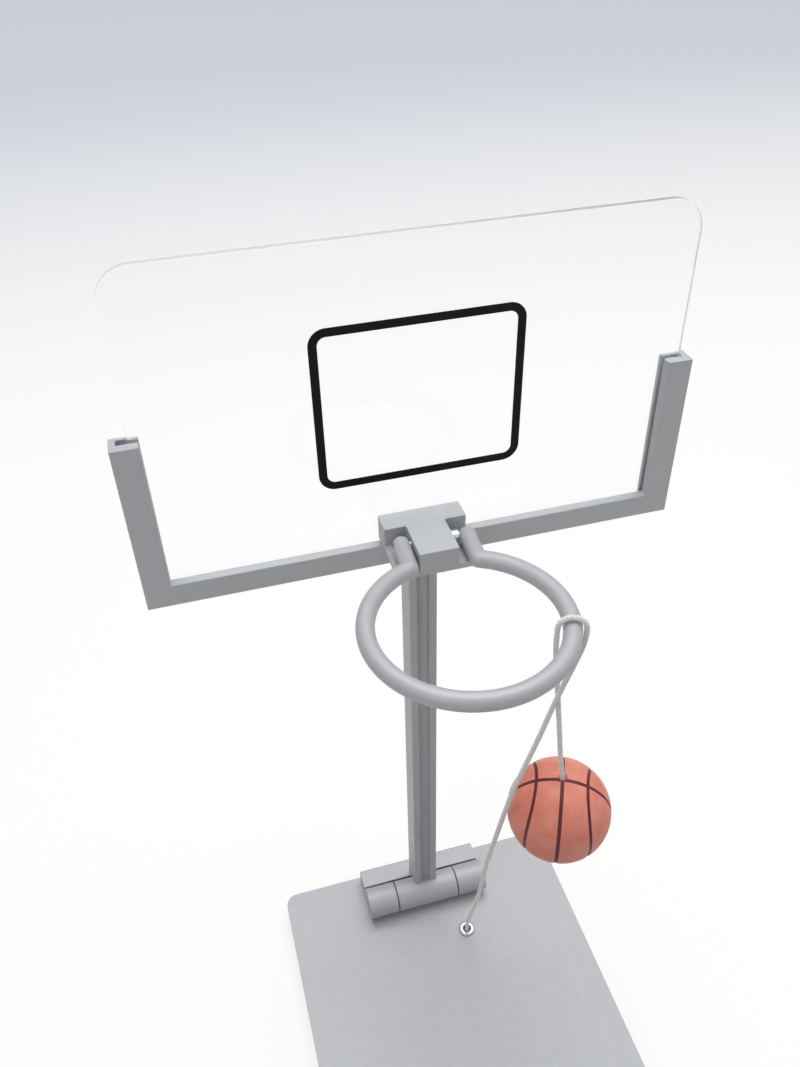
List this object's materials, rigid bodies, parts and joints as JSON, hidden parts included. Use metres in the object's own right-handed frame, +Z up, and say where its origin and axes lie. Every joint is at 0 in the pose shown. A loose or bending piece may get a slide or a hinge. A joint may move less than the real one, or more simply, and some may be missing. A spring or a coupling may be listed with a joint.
{
  "type": "tabletop basketball game",
  "caption": "Fold-down desk basketball hoop: metal base, hinged mast, clear backboard in a U frame, folding ring, ball on a cord and a flick lever.",
  "frame": {"origin": "on the table, under the middle of the base plate", "axes": "+Z up, -Y towards the player, +X to the player's right"},
  "size_m": [0.135, 0.18, 0.2435],
  "materials": {
    "blasted_aluminium": "satin, bead blasted, clear anodised",
    "steel": "plain zinc plated",
    "acrylic": "clear, polished",
    "outline_ink": "black screen print",
    "black_rubber": "matt",
    "ball_rubber": "matt salmon orange with dark seams",
    "cord": "off-white braid"
  },
  "bodies": {
    "base": {"base_plate": "blasted_aluminium", "foot_front_left": "black_rubber", "foot_front_right": "black_rubber", "foot_rear_left": "black_rubber", "foot_rear_right": "black_rubber", "hinge_block": "blasted_aluminium", "hinge_pin": "steel", "hinge_block_screw_left": "steel", "hinge_block_screw_right": "steel", "cord_grommet": "steel", "cord_anchor_knot": "cord", "launcher_bracket_left": "blasted_aluminium", "launcher_bracket_right": "blasted_aluminium", "launcher_pin": "steel", "launcher_screw_left": "steel", "launcher_screw_right": "steel"},
    "mast": {"mast_knuckle": "blasted_aluminium", "mast_foot_screw": "steel", "mast": "blasted_aluminium", "board_frame": "blasted_aluminium", "frame_screw": "steel", "backboard": "acrylic", "target_outline": "outline_ink", "ring_bracket": "blasted_aluminium", "bracket_screw_left": "steel", "bracket_screw_right": "steel", "bracket_washer_left": "steel", "bracket_washer_right": "steel", "ring_pin": "steel", "ring_spacer": "steel"},
    "ring": {"ring": "blasted_aluminium"},
    "lever": {"launch_lever": "blasted_aluminium", "lever_pad": "black_rubber", "launch_cup": "blasted_aluminium", "cup_screw": "steel"},
    "cord": {"cord_run": "cord"},
    "ball": {"ball": "ball_rubber", "cord_drop": "cord"}
  },
  "joints": [
    {"name": "mast_fold", "type": "hinge", "parent": "base", "child": "mast", "pos_m": [0, 0.0762, 0.0132], "axis": [1, 0, 0], "range_deg": [0, 86]},
    {"name": "ring_fold", "type": "hinge", "parent": "mast", "child": "ring", "pos_m": [0, 0.0696, 0.17265], "axis": [-1, 0, 0], "range_deg": [0, 90]},
    {"name": "lever_flick", "type": "hinge", "parent": "base", "child": "lever", "pos_m": [-0.013, -0.0038, 0.012], "axis": [0.964, -0.2661, 0], "range_deg": [-27, 0]},
    {"name": "cord_lay_down", "type": "hinge", "parent": "base", "child": "cord", "pos_m": [0.01, 0.0607, 0.01012], "axis": [0, 1, 0], "range_deg": [0, 81]},
    {"name": "ball_swing", "type": "hinge", "parent": "cord", "child": "ball", "pos_m": [0.0169, 0.03327, 0.1707], "axis": [1, 0, 0], "range_deg": [0, 30]}
  ],
  "couplings": [
    {"joint": "ring_fold", "follows": "mast_fold", "ratio": 1.045},
    {"joint": "cord_lay_down", "follows": "mast_fold", "ratio": 0.9415}
  ]
}
